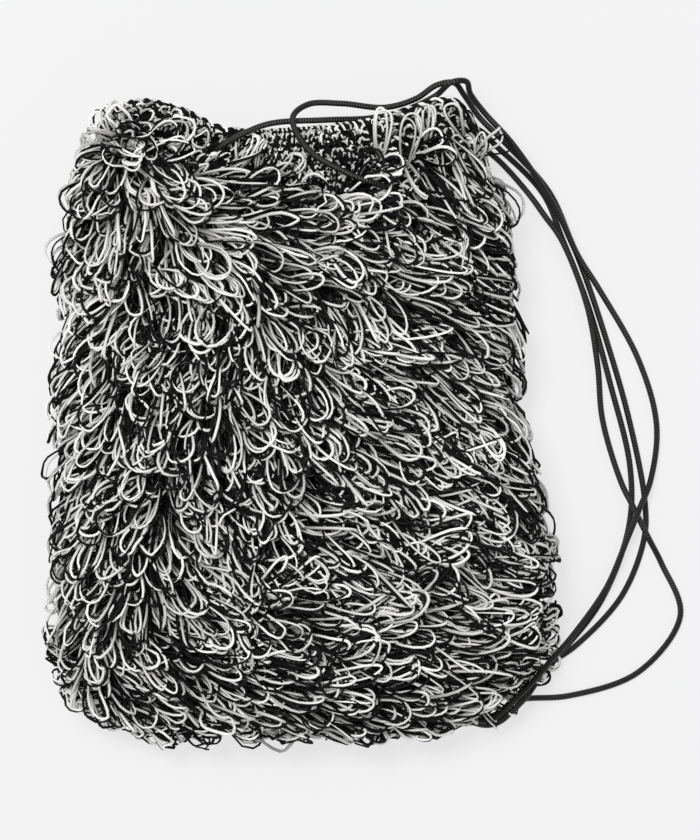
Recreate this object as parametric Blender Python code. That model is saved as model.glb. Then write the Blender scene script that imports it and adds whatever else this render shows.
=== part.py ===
"""Loop-pile crochet drawstring pouch, lying on its back with its mouth toward +Y.

Metres, +Z up. The origin is on the flat underside of the pile that the pouch lies on, below its middle.
"""

import math
import random

import bmesh
import bpy
import numpy as np
from mathutils import Matrix, Vector

MM = 0.001

# ------------------------------------------------------------------ driving dimensions
WALL = 3.0 * MM             # thickness of the crocheted wall
GAP = 0.35 * MM             # clearance between touching pieces
SEAM = 1.1 * MM             # half of the parting between two courses of pile
CORD_DIAMETER = 3.0 * MM
CORD_STEP = 17.0 * MM       # distance between two points of a cord tube
ON_FLOOR = 1.53 * MM        # height of a cord's centreline where it lies on the floor
LOOP_SECTION = 1.45 * MM    # radius of a pile loop's own section, one pair of yarns
BULGE_TOP = 2.15            # roundness of the front's section, 2 for an ellipse
BULGE_BACK = 4.0            # roundness of the flattened back's section
TOP_STEPS = 22              # columns of the wall over the front
BACK_STEPS = 14             # columns of the wall over the back
CORD_TURN = 0.42            # most that a cord turns between two points of its tube, radians
FLOOR_LOOP = 2.6 * MM       # height of a loop that lies on the floor
SLAB_CLEAR = 15.0 * MM      # lowest that a loop at the pouch's side comes, over the slab's edge
BASE_END = -158             # y past which loops hang down in front of the base, mm
SEED = 11
COLUMNS = TOP_STEPS + BACK_STEPS
BACK_RINGS = (2, 12)        # rings of the wall between which the slab under it lies

# The slab's edge under the pouch, from its top down.
# columns: height, reach out from the edge, lumpiness (mm)
BACK_EDGE = (
    (6.5, 4.2, 1.6),
    (0.0, 2.2, 1.4),
)

# Height of the mouth's edge and of the pile's upper edge round the wall.
# columns: angle (0 right side, 90 front, 180 left side, 270 back), rim y, pile top y (mm)
MOUTH = (
    (0, 134, 119), (10, 138, 123), (20, 150, 130), (28, 161, 134), (38, 163, 133),
    (48, 159, 122), (58, 155, 111), (67, 150, 109), (78, 147, 110), (90, 145, 113),
    (102, 144, 118), (110, 147, 123), (117, 153, 127), (125, 158, 130), (136, 161, 134),
    (147, 160, 139), (162, 154, 137), (172, 146, 130), (180, 141, 124), (205, 138, 116),
    (240, 140, 114), (270, 141, 114), (300, 140, 114), (335, 137, 116), (360, 134, 119),
)

# The wall from base to mouth: a row for each ring of its grid.
# columns: y (mm), share of the way to the pile's upper edge, share of the way on to the rim,
# left and right reach in x, height of the front, of the widest line and of the back (mm)
RINGS = (
    (-152, 0.0, 0.0, -86, 73, 28, 22.5, 17.5),
    (-149, 0.0, 0.0, -97, 83, 36, 23, 14.5),
    (-142, 0.0, 0.0, -108, 94, 44, 25, 12.3),
    (-127, 0.0, 0.0, -115, 106, 54, 28, 11.2),
    (-103, 0.0, 0.0, -118, 116, 62, 30, 11),
    (-77, 0.0, 0.0, -118, 118, 66, 31, 11),
    (-50, 0.0, 0.0, -115, 114, 67, 31, 11),
    (-22, 0.0, 0.0, -116, 109, 65, 31, 11),
    (6, 0.0, 0.0, -116, 100, 62, 30, 11),
    (34, 0.0, 0.0, -114, 98, 60, 29, 11),
    (61, 0.0, 0.0, -113, 98, 57, 28, 11),
    (86, 0.0, 0.0, -114, 98, 54, 27, 11),
    (86, 0.5, 0.0, -113, 96, 50.5, 26, 11),
    (86, 1.0, 0.0, -111, 94, 47, 25, 11),
    (86, 1.0, 0.5, -106, 91.5, 44, 24, 10),
    (86, 1.0, 1.0, -101, 90, 41.5, 23, 9),
)

# Soft troughs and ridges of the front.
# columns: x and y of one end, x and y of the other, depth (ridges are negative), half width (mm)
FOLDS = (
    (-30, 144, 12, 104, 5.5, 13),
    (12, 104, 34, 52, 3.0, 16),
    (-58, 128, -50, 78, -3.0, 18),
    (62, 138, 66, 84, -3.5, 18),
    (-88, -20, -70, -92, 2.5, 18),
    (40, -40, 84, -78, 2.0, 16),
)

# Courses of loop pile over the front and both sides.
# columns: name, first and last ring, first and last column, loops in the course
COURSES = (
    ("loop_row_01", 0, 3, 2, 22, 10),
    ("loop_row_02", 3, 4, -1, 23, 10),
    ("loop_row_03", 4, 5, -1, 23, 10),
    ("loop_row_04", 5, 6, -1, 23, 10),
    ("loop_row_05", 6, 7, -1, 23, 10),
    ("loop_row_06", 7, 8, -1, 23, 10),
    ("loop_row_07", 8, 9, -1, 23, 10),
    ("loop_row_08", 9, 10, -1, 23, 10),
    ("loop_row_09", 10, 11, -1, 23, 10),
    ("loop_row_10", 11, 13, -1, 23, 10),
)
PILE_EDGE = 3.2 * MM        # pile depth at the upper edge of a course
PILE_FRONT = 8.5 * MM       # pile depth over the front
PILE_SIDE = 6.0 * MM        # pile depth at the sides
LUMPS = (0.74, 1.16)        # least and most that a lump changes the pile's depth by
LOOP_LENGTH = 27.0 * MM
LOOP_WIDTH = 7.6 * MM
LOOP_LENGTHS = (0.82, 1.05) # shortest and longest loop as a share of the usual
LOOP_WIDTHS = (0.85, 1.2)   # narrowest and widest loop as a share of the usual
LOOP_POINTS = 8
LOOP_ROOT = 7.0 * MM        # height of a loop's root over its course's lower edge
ROOT_DEPTH = 0.62           # depth of the root in the pile, as a share of the pile at the sides
LOOP_RISE = 0.42            # share of a loop's length over which it climbs on to the pile below
LOOP_MARGIN = 0.8           # columns left free of loops at each end of a course
LOOP_SCATTER = 0.12         # uneven spacing and turn of the loops
LOOP_CLEAR = 0.5 * MM       # clearance between loops on top of the gap
FLOOR_LOOP_LENGTHS = (9, 13)
FLOOR_LOOP_WIDTHS = (6, 8)  # mm, loops that lie on the floor
FLOOR_LOOP_ROOT = 3.5 * MM  # how deep such a loop is rooted in the slab

# Lean of the pile from straight down, positive to the right.
# columns: x (mm), lean at the base, lean at the middle, lean under the mouth (degrees)
LEAN = (
    (-115, -34, -26, -30),
    (-60, 4, -4, -12),
    (0, 26, 18, 16),
    (60, 36, 34, 30),
    (112, 40, 38, 34),
)

# Drawcord routes, mm, read through by a smooth curve. Both ends of each are sewn to the wall at the
# base's right corner.
CORD_1 = (
    (83.8, -149.8, 20.6), (90.0, -151.2, 20.6), (96.2, -149.4, 21.0), (104.0, -142.3, 21.8),
    (115.0, -131.5, 21.5), (124.0, -121.4, 15.0),
    (135.3, -109.3, 8.4), (152.7, -85.1, 5.8), (162.9, -60.7, 8.9), (169.4, -44.5, 9.6),
    (175.3, -30.4, 4.4), (178.5, -2.5, 1.6), (169.4, 30.4, 1.6), (148.8, 66.9, 3.9),
    (138.5, 83.0, 5.7), (126.7, 107.0, 11.2), (104.7, 138.6, 21.6), (90.8, 153.7, 23.9),
    (83.3, 163.2, 28.0), (81.0, 168.9, 34.2), (73.6, 168.3, 36.8), (65.7, 162.0, 31.2),
    (47.9, 153.8, 31.8), (32.9, 150.6, 34.5), (10.4, 149.2, 40.5), (-18.0, 146.8, 44.8),
    (-35.5, 139.0, 46.6), (-43.2, 134.4, 44.2), (-49.5, 130.6, 37.0), (-58.5, 125.5, 28.5),
    (-69.0, 121.5, 22.2), (-77.5, 123.5, 19.0), (-80.5, 130.5, 18.0), (-75.0, 136.6, 17.4),
    (-62.0, 137.5, 17.0), (0.0, 134.0, 16.7),
    (55.0, 136.0, 17.0), (85.0, 146.6, 20.6), (97.6, 136.9, 17.0), (120.6, 114.6, 6.2),
    (130.9, 91.3, 1.6), (143.5, 58.8, 1.6), (155.0, 18.3, 1.6), (165.1, -24.3, 1.6),
    (164.3, -54.8, 1.6), (150.6, -91.3, 1.6), (132.2, -115.0, 5.6), (121.2, -126.0, 11.2),
    (112.5, -138.2, 18.3), (104.3, -146.6, 19.6), (98.2, -151.8, 18.2), (92.0, -153.6, 17.0),
    (85.4, -152.4, 16.8), (79.6, -150.4, 16.9),
)
CORD_2 = (
    (81.0, -146.4, 15.2), (87.0, -148.6, 13.9), (93.0, -149.4, 14.4), (98.0, -147.4, 16.0),
    (104.5, -141.4, 17.2), (109.5, -136.6, 14.6), (115.0, -131.5, 9.6), (125.1, -123.0, 4.6),
    (138.5, -113.6, 1.6), (160.8, -89.3, 1.6), (172.0, -61.0, 1.6), (172.7, -42.6, 1.6),
    (164.6, 0.0, 1.6), (152.4, 42.6, 1.6), (141.5, 75.1, 1.6), (134.8, 91.6, 1.9),
    (123.6, 115.2, 9.5), (101.1, 139.3, 18.6), (88.4, 151.7, 20.4), (80.2, 163.0, 24.3),
    (75.0, 168.6, 30.2), (66.4, 167.3, 32.2), (55.9, 160.4, 33.3), (40.4, 155.8, 36.0),
    (18.9, 157.4, 40.5), (2.0, 156.6, 44.5), (-5.4, 149.6, 48.5), (2.0, 134.1, 51.0),
    (21.7, 122.1, 52.5), (35.0, 117.2, 51.0), (45.0, 114.6, 45.5), (53.5, 113.0, 36.0),
    (60.0, 114.0, 26.0), (66.0, 120.0, 20.0), (81.4, 140.6, 19.2), (94.9, 133.4, 14.3),
    (112.5, 115.3, 8.6), (121.3, 103.4, 8.0), (130.1, 91.1, 5.9), (142.8, 58.7, 5.1),
    (148.4, 28.0, 3.8), (151.1, 0.0, 1.6), (160.5, -32.0, 4.2), (165.6, -42.5, 5.4),
    (174.0, -59.5, 5.4), (181.1, -73.0, 1.6), (190.6, -99.0, 1.6), (169.4, -127.8, 1.6),
    (134.9, -139.7, 1.6), (116.0, -140.8, 5.0), (107.0, -140.6, 11.6), (97.2, -137.8, 18.1),
)
# Holes between stitches where a cord passes from the front into the mouth.
# columns: name, x, y (mm)
CORD_HOLES = (
    ("cord_hole_1", -45.2, 133.3),
    ("cord_hole_2", 45.5, 114.8),
)
CORD_HOLE_RADIUS = 5.2 * MM


def mouth_at(angle):
    """The rim's and the pile edge's y at an angle round the wall, in millimetres."""
    turns = [row[0] for row in MOUTH]
    rim = np.interp(angle % 360, turns, [row[1] for row in MOUTH])
    pile = np.interp(angle % 360, turns, [row[2] for row in MOUTH])
    return rim, pile


def column_angle(column):
    """Degrees round the wall of one of its grid's columns."""
    column = column % COLUMNS
    if column <= TOP_STEPS:
        return 180 * column / TOP_STEPS
    return 180 + 180 * (column - TOP_STEPS) / BACK_STEPS


def fold_depth(x, y):
    """How far the folds sink the front at a place, in millimetres."""
    depth = 0.0
    for x0, y0, x1, y1, most, width in FOLDS:
        along = ((x - x0) * (x1 - x0) + (y - y0) * (y1 - y0)) / ((x1 - x0) ** 2 + (y1 - y0) ** 2)
        along = min(1, max(0, along))
        off = math.hypot(x - x0 - along * (x1 - x0), y - y0 - along * (y1 - y0))
        depth += most * math.exp(-((off / width) ** 2))
    return depth


def grid_point(column, ring):
    """A corner of the wall's outer grid, in metres."""
    y, to_pile, to_rim, left, right, top, side, back = RINGS[ring]
    angle = column_angle(column)
    rim, pile = mouth_at(angle)
    y += to_pile * (pile - y) + to_rim * (rim - pile)
    across, up = math.cos(math.radians(angle)), math.sin(math.radians(angle))
    roundness = 2 / (BULGE_TOP if up >= 0 else BULGE_BACK)
    x = (left + right) / 2 + (right - left) / 2 * math.copysign(abs(across) ** roundness, across)
    rise = abs(up) ** roundness
    if up >= 0:
        z = side + (top - side) * rise - fold_depth(x, y) * rise
    else:
        z = side - (side - back) * rise
    return Vector((x, y, z)) * MM


GRID = {}


def wall_point(column, ring):
    """A place on the wall's outer face; past the base the face is carried on straight."""
    ring = min(ring, len(RINGS) - 1)
    low_ring = max(0, min(len(RINGS) - 2, math.floor(ring)))
    low_column = math.floor(column)
    corners = []
    for step_ring in (0, 1):
        for step_column in (0, 1):
            place = ((low_column + step_column) % COLUMNS, low_ring + step_ring)
            if place not in GRID:
                GRID[place] = grid_point(*place)
            corners.append(GRID[place])
    over = column - low_column
    near = corners[0].lerp(corners[1], over)
    far = corners[2].lerp(corners[3], over)
    return near + (far - near) * (ring - low_ring)


def wall_slopes(column, ring):
    """The wall's change of place for a step of column and of ring, and its outward normal."""
    low, high = max(0.0, ring - 0.5), min(len(RINGS) - 1.0, ring + 0.5)
    along = (wall_point(column, high) - wall_point(column, low)) / (high - low)
    across = wall_point(column + 0.5, ring) - wall_point(column - 0.5, ring)
    return across, along, along.cross(across).normalized()


def new_object(name, corners, faces, colour, roughness, helper=False):
    """One named object with its own material, from corner points and face corner lists."""
    mesh = bpy.data.meshes.new(name)
    mesh.from_pydata([tuple(corner) for corner in corners], [], faces)
    sheet = bmesh.new()
    sheet.from_mesh(mesh)
    bmesh.ops.triangulate(sheet, faces=sheet.faces[:], quad_method="FIXED")
    sheet.to_mesh(mesh)
    sheet.free()
    thing = bpy.data.objects.new(name, mesh)
    bpy.context.collection.objects.link(thing)
    if helper:
        thing.hide_render = True
        thing.display_type = "WIRE"
    else:
        mesh.materials.append(finish(name, colour, roughness))
    return thing


def finish(name, colour, roughness):
    """A plain Principled material."""
    material = bpy.data.materials.new(name + "_finish")
    material.use_nodes = True
    shader = material.node_tree.nodes["Principled BSDF"]
    shader.inputs["Base Color"].default_value = (*colour, 1)
    shader.inputs["Roughness"].default_value = roughness
    shader.inputs["Metallic"].default_value = 0.0
    return material


def combine(thing, other, operation):
    """A Boolean of one object with a helper object."""
    step = thing.modifiers.new(other.name, "BOOLEAN")
    step.operation = operation
    step.solver = "EXACT"
    step.object = other


def hole_cutter(name, x, y):
    """A short cylinder through the front wall, square to it."""
    best = None
    for half_column in range(0, 2 * TOP_STEPS):
        for half_ring in range(2 * len(RINGS) - 2):
            place = wall_point(half_column / 2, half_ring / 2)
            off = math.hypot(place.x - x * MM, place.y - y * MM)
            if best is None or off < best[0]:
                best = (off, half_column / 2, half_ring / 2)
    normal = wall_slopes(best[1], best[2])[2]
    centre = Vector((x * MM, y * MM, wall_point(best[1], best[2]).z))
    sheet = bmesh.new()
    turn = normal.to_track_quat("Z", "Y").to_matrix().to_4x4()
    bmesh.ops.create_cone(sheet, cap_ends=True, segments=10, radius1=CORD_HOLE_RADIUS,
                          radius2=CORD_HOLE_RADIUS, depth=6 * WALL,
                          matrix=Matrix.Translation(centre) @ turn)
    cutter = new_object(name, [], [], None, None, helper=True)
    sheet.to_mesh(cutter.data)
    sheet.free()
    return cutter


def crochet_shell():
    """The pouch's wall: a lofted bag, closed at the base and open at the mouth."""
    corners, faces = [], []
    for ring in range(len(RINGS)):
        for column in range(COLUMNS):
            corners.append(wall_point(column, ring))
    for ring in range(len(RINGS) - 1):
        for column in range(COLUMNS):
            here, after = ring * COLUMNS + column, ring * COLUMNS + (column + 1) % COLUMNS
            faces.append((here, here + COLUMNS, after + COLUMNS, after))
    faces.append(tuple(range(COLUMNS)))
    shell = new_object("crochet_shell", corners, faces, (0.16, 0.16, 0.155), 0.9)
    wall = shell.modifiers.new("wall", "SOLIDIFY")
    wall.thickness = WALL
    wall.offset = -1
    for name, x, y in CORD_HOLES:
        combine(shell, hole_cutter(name, x, y), "DIFFERENCE")
    return shell


def pile_depth(column, half_ring, course):
    """Depth of a course's mass of loops at a column and half ring, lumpy, in metres."""
    angle = column_angle(column)
    over_front = max(0.0, math.sin(math.radians(angle))) ** 0.6
    depth = PILE_SIDE + (PILE_FRONT - PILE_SIDE) * over_front
    lump = random.Random(f"{SEED} {course} {column} {half_ring}").uniform(*LUMPS)
    return depth * lump


def crest(column):
    """Height above the wall at which loops lie over the courses below, in metres."""
    over_front = max(0.0, math.sin(math.radians(column_angle(column)))) ** 0.6
    return (PILE_SIDE + (PILE_FRONT - PILE_SIDE) * over_front) * LUMPS[1] + LOOP_SECTION + GAP


def seam_share(column, ring, seam):
    """Half a parting between courses as a share of the ring spacing."""
    return seam / wall_slopes(column, ring)[1].length


def pile_course(name, first_ring, last_ring, first_column, last_column, loops, colour):
    """A course of pile: a lumpy strip on the wall, deeper at its lower edge, and its loops."""
    columns = list(range(first_column, last_column + 1))
    corners, inner, outer = [], {}, {}
    for column in columns:
        low = first_ring + seam_share(column, first_ring + 0.5, SEAM)
        high = last_ring - seam_share(column, last_ring - 0.5, SEAM)
        rings = [low] + list(range(first_ring + 1, last_ring)) + [high]
        for number, ring in enumerate(rings):
            normal = wall_slopes(column, ring)[2]
            inner[column, number] = len(corners)
            corners.append(wall_point(column, ring) + normal * GAP)
        for number in range(2 * len(rings) - 1):
            after = min(number // 2 + 1, len(rings) - 1)
            ring = rings[number // 2] + (rings[after] - rings[number // 2]) * (number % 2) / 2
            normal = wall_slopes(column, ring)[2]
            depth = pile_depth(column, number, name)
            if number == 2 * len(rings) - 2:
                depth = PILE_EDGE
            outer[column, number] = len(corners)
            corners.append(wall_point(column, ring) + normal * (GAP + depth))
    faces = []
    inner_rows, outer_rows = len(rings), 2 * len(rings) - 1
    for column in columns[:-1]:
        after = column + 1
        for row in range(inner_rows - 1):
            faces.append((inner[column, row], inner[after, row],
                          inner[after, row + 1], inner[column, row + 1]))
        for row in range(outer_rows - 1):
            faces.append((outer[column, row], outer[column, row + 1],
                          outer[after, row + 1], outer[after, row]))
        faces.append((inner[column, 0], outer[column, 0], outer[after, 0], inner[after, 0]))
        faces.append((inner[column, inner_rows - 1], inner[after, inner_rows - 1],
                      outer[after, outer_rows - 1], outer[column, outer_rows - 1]))
    for column, back in ((columns[0], False), (columns[-1], True)):
        end = [inner[column, row] for row in range(inner_rows)]
        end += [outer[column, row] for row in reversed(range(outer_rows))]
        faces.append(tuple(end if not back else reversed(end)))
    strip = new_object(name, corners, faces, colour, 0.95)
    rings_mesh = course_loops(name, first_ring, last_ring, first_column, last_column, loops)
    combine(strip, rings_mesh, "UNION")
    return strip


def lean_at(x, y):
    """The pile's lean from straight down at a place, in radians, positive to the right."""
    places = [row[0] for row in LEAN]
    heights = (-130, 0, 130)
    leans = [np.interp(x, places, [row[part] for row in LEAN]) for part in (1, 2, 3)]
    return math.radians(np.interp(y, heights, leans))


TAKEN = []


def is_clear(line, distance):
    """True where a centreline stays this far from every one that is already taken."""
    for other in TAKEN:
        low, high = other.min(axis=0) - distance, other.max(axis=0) + distance
        if (line.max(axis=0) < low).any() or (line.min(axis=0) > high).any():
            continue
        apart = np.linalg.norm(line[:, None, :] - other[None, :, :], axis=2)
        if apart.min() < distance:
            return False
    return True


def course_loops(name, first_ring, last_ring, first_column, last_column, loops):
    """The loops of a course, each a closed teardrop of yarn rooted in the strip."""
    dice = random.Random(f"{SEED} {name}")
    corners, faces = [], []
    spread = last_column - first_column - 2 * LOOP_MARGIN
    for number in range(loops):
        share = (number + 0.5 + dice.uniform(-LOOP_SCATTER, LOOP_SCATTER)) / loops
        column = first_column + LOOP_MARGIN + spread * share
        root_ring = first_ring + seam_share(column, first_ring + 0.5, LOOP_ROOT)
        length = LOOP_LENGTH * dice.uniform(*LOOP_LENGTHS)
        width = LOOP_WIDTH * dice.uniform(*LOOP_WIDTHS)
        turn = dice.uniform(-LOOP_SCATTER, LOOP_SCATTER)
        place = wall_point(column, root_ring)
        facing = max(0.0, math.sin(math.radians(column_angle(column)))) ** 0.7
        lean = lean_at(place.x / MM, place.y / MM) * facing + turn
        line, normals = [], []
        for step in range(4 * LOOP_POINTS):
            share = step / (4 * LOOP_POINTS)
            along = length * (1 - math.cos(2 * math.pi * share)) / 2
            across = -width / 2 * math.sin(2 * math.pi * share) * (0.7 + 0.3 * along / length)
            down = along * math.cos(lean) - across * math.sin(lean)
            right = along * math.sin(lean) + across * math.cos(lean)
            slopes = wall_slopes(column, root_ring)
            at_ring = root_ring - down / slopes[1].length
            at_column = column - right / slopes[0].length
            normal = wall_slopes(at_column, max(0.0, at_ring))[2]
            rise = min(1.0, along / (LOOP_RISE * length))
            rise = rise * rise * (3 - 2 * rise)
            lift = PILE_SIDE * ROOT_DEPTH * (1 - rise) + crest(column) * rise
            point = wall_point(at_column, at_ring) + normal * lift
            point.z = max(point.z, LOOP_SECTION * 1.3)
            line.append(point)
            normals.append(normal)
        outline = np.array(line)
        beside_slab = outline[outline[:, 1] > BASE_END * MM]
        if len(beside_slab) and beside_slab[:, 2].min() < SLAB_CLEAR:
            continue
        if not is_clear(outline, 2 * LOOP_SECTION + GAP + LOOP_CLEAR):
            continue
        TAKEN.append(outline)
        add_ring(corners, faces, line[::4], normals[::4])
    return new_object(name + "_loops", corners, faces, None, None, helper=True)


def add_ring(corners, faces, line, normals):
    """A closed three-sided tube through a ring of points."""
    count, start = len(line), len(corners)
    for number, point in enumerate(line):
        ahead = line[(number + 1) % count] - line[number - 1]
        side = ahead.cross(normals[number]).normalized()
        up = side.cross(ahead).normalized()
        for corner in range(3):
            angle = math.radians(90 + 120 * corner)
            corners.append(point + (side * math.cos(angle) + up * math.sin(angle)) * LOOP_SECTION)
    for number in range(count):
        after = (number + 1) % count
        for corner in range(3):
            turn = (corner + 1) % 3
            faces.append((start + 3 * number + turn, start + 3 * number + corner,
                          start + 3 * after + corner, start + 3 * after + turn))


def back_pile():
    """The pile under the pouch: a lumpy slab pressed flat, with loops lying out at its rim."""
    dice = random.Random(f"{SEED} back")
    columns = list(range(TOP_STEPS + 2, COLUMNS - 1))
    rings = list(range(BACK_RINGS[0], BACK_RINGS[1] + 1))
    corners, faces, top = [], [], {}
    for ring in rings:
        for column in columns:
            top[ring, column] = len(corners)
            normal = wall_slopes(column, ring)[2]
            corners.append(wall_point(column, ring) + normal * GAP)
    for ring in rings[:-1]:
        for column in columns[:-1]:
            faces.append((top[ring, column], top[ring, column + 1],
                          top[ring + 1, column + 1], top[ring + 1, column]))
    edge = [top[ring, columns[0]] for ring in rings]
    edge += [top[rings[-1], column] for column in columns[1:]]
    edge += [top[ring, columns[-1]] for ring in reversed(rings[:-1])]
    edge += [top[rings[0], column] for column in reversed(columns[1:-1])]
    layers = [edge]
    for height, reach, lump in BACK_EDGE:
        layer = []
        for number, corner in enumerate(edge):
            before, after = corners[edge[number - 1]], corners[edge[(number + 1) % len(edge)]]
            way = after - before
            out = Vector((-way.y, way.x, 0)).normalized()
            place = corners[corner] + out * (reach + dice.uniform(-lump, lump)) * MM
            place.z = height * MM
            layer.append(len(corners))
            corners.append(place)
        layers.append(layer)
    for upper, lower in zip(layers, layers[1:]):
        for number in range(len(edge)):
            after = (number + 1) % len(edge)
            faces.append((upper[number], upper[after], lower[after], lower[number]))
    faces.append(tuple(layers[-1]))
    slab = new_object("back_pile", corners, faces, (0.10, 0.10, 0.10), 0.95)
    foot = [corners[number] for number in layers[-1]]
    combine(slab, floor_loops(foot, dice), "UNION")
    return slab


def floor_loops(foot, dice):
    """Flat loops lying level on the floor, out of the slab's rim."""
    corners, faces = [], []
    count = len(foot)
    for number in range(0, count, 3):
        way = foot[(number + 1) % count] - foot[number - 1]
        out = Vector((-way.y, way.x, 0)).normalized()
        if out.y > 0.6:
            continue
        out = (out + Vector((0.15, -0.45, 0))).normalized()
        side = Vector((-out.y, out.x, 0))
        length = dice.uniform(*FLOOR_LOOP_LENGTHS) * MM
        width = dice.uniform(*FLOOR_LOOP_WIDTHS) * MM
        line = []
        for step in range(4 * LOOP_POINTS):
            share = step / (4 * LOOP_POINTS)
            along = length * math.sin(math.pi * share) - FLOOR_LOOP_ROOT
            across = width / 2 * math.sin(2 * math.pi * share)
            line.append(foot[number] + out * along + side * across + Vector((0, 0, FLOOR_LOOP / 2)))
        outline = np.array(line)
        if not is_clear(outline, FLOOR_LOOP * 1.5 + GAP):
            continue
        TAKEN.append(outline)
        add_flat_ring(corners, faces, line[::4])
    return new_object("back_pile_loops", corners, faces, None, None, helper=True)


def add_flat_ring(corners, faces, line):
    """A closed four-sided tube, level above and below, through a ring of points."""
    count, start = len(line), len(corners)
    for number, point in enumerate(line):
        ahead = (line[(number + 1) % count] - line[number - 1]).normalized()
        side = Vector((ahead.y, -ahead.x, 0)) * FLOOR_LOOP / 2
        up = Vector((0, 0, FLOOR_LOOP / 2))
        for shift in (side - up, side + up, -side + up, -side - up):
            corners.append(point + shift)
    for number in range(count):
        after = (number + 1) % count
        for corner in range(4):
            turn = (corner + 1) % 4
            faces.append((start + 4 * number + turn, start + 4 * number + corner,
                          start + 4 * after + corner, start + 4 * after + turn))


def smooth_line(points):
    """A dense smooth line through a route's points (centripetal Catmull-Rom)."""
    points = [Vector(point) * MM for point in points]
    points = [2 * points[0] - points[1]] + points + [2 * points[-1] - points[-2]]
    line = []
    for before, start, end, after in zip(points, points[1:], points[2:], points[3:]):
        knots = [0.0]
        for one, two in ((before, start), (start, end), (end, after)):
            knots.append(knots[-1] + max((two - one).length, 1e-9) ** 0.5)
        for step in range(16):
            t = knots[1] + (knots[2] - knots[1]) * step / 16
            a1 = before.lerp(start, (t - knots[0]) / (knots[1] - knots[0]))
            a2 = start.lerp(end, (t - knots[1]) / (knots[2] - knots[1]))
            a3 = end.lerp(after, (t - knots[2]) / (knots[3] - knots[2]))
            b1 = a1.lerp(a2, (t - knots[0]) / (knots[2] - knots[0]))
            b2 = a2.lerp(a3, (t - knots[1]) / (knots[3] - knots[1]))
            place = b1.lerp(b2, (t - knots[1]) / (knots[2] - knots[1]))
            place.z = max(place.z, ON_FLOOR)
            line.append(place)
    return line + [points[-2]]


def thinned(line):
    """Points of a dense line, near each other where it bends and further apart elsewhere."""
    kept, run, turned = [line[0]], 0.0, 0.0
    for before, here, after in zip(line, line[1:], line[2:]):
        run += (here - before).length
        turned += (here - before).angle(after - here, 0.0)
        if run > CORD_STEP or turned > CORD_TURN:
            kept.append(here)
            run, turned = 0.0, 0.0
    return kept + [line[-1]]


def drawcord(name, line):
    """A round cord as one tube."""
    curve = bpy.data.curves.new(name, "CURVE")
    curve.dimensions = "3D"
    curve.bevel_depth = CORD_DIAMETER / 2
    curve.bevel_resolution = 2
    curve.use_fill_caps = True
    curve.twist_mode = "MINIMUM"
    spline = curve.splines.new("POLY")
    points = thinned(line)
    spline.points.add(len(points) - 1)
    for point, place in zip(spline.points, points):
        point.co = (*place, 1)
    curve.materials.append(finish(name, (0.02, 0.02, 0.02), 0.45))
    cord = bpy.data.objects.new(name, curve)
    bpy.context.collection.objects.link(cord)
    return cord


def take_line(line):
    """Marks a cord's centreline as taken, so that the loops stay clear of it."""
    TAKEN.append(np.array([tuple(point) for point in line[::2]]))


for thing in list(bpy.data.objects):
    bpy.data.objects.remove(thing)

crochet_shell()
for cord_name, route in (("drawcord_1", CORD_1), ("drawcord_2", CORD_2)):
    centreline = smooth_line(route)
    drawcord(cord_name, centreline)
    take_line(centreline)
for number, course in enumerate(COURSES):
    pile_course(*course, (0.20, 0.20, 0.19) if number % 2 else (0.12, 0.12, 0.12))
back_pile()
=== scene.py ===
import math

import bpy
import numpy as np
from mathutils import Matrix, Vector
from mathutils.bvhtree import BVHTree
from mathutils.kdtree import KDTree
from numpy.linalg import norm


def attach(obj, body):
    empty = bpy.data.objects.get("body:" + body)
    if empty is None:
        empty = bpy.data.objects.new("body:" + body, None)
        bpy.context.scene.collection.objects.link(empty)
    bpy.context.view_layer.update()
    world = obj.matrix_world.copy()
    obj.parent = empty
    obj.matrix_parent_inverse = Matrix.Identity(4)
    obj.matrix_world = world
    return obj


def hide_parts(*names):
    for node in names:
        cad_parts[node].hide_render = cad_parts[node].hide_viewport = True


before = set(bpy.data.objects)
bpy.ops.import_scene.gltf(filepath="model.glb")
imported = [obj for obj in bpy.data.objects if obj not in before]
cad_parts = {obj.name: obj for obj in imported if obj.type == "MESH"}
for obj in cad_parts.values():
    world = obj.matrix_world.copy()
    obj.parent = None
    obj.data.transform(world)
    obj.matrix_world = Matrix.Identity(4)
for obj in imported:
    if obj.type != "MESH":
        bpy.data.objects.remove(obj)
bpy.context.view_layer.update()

# ---------------------------------------------------------------- camera
# A long lens straight above the pouch, which lies on its back with its mouth away from the viewer.
camera_height = 2.0
camera_aside = 0.023       # to the right, over the middle of the pouch and its cords together
pouch_height = 0.03        # height at which the picture is pictured_length long
pictured_length = 0.42
film_size = 36             # millimetres


def placed(name, data):
    """A new object of that name in the scene."""
    thing = bpy.data.objects.new(name, data)
    bpy.context.collection.objects.link(thing)
    return thing


camera = placed("overhead_camera", bpy.data.cameras.new("overhead_camera"))
camera.data.sensor_width = film_size
camera.data.lens = film_size * (camera_height - pouch_height) / pictured_length
camera.location = (camera_aside, 0.0, camera_height)
bpy.context.scene.camera = camera

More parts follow.
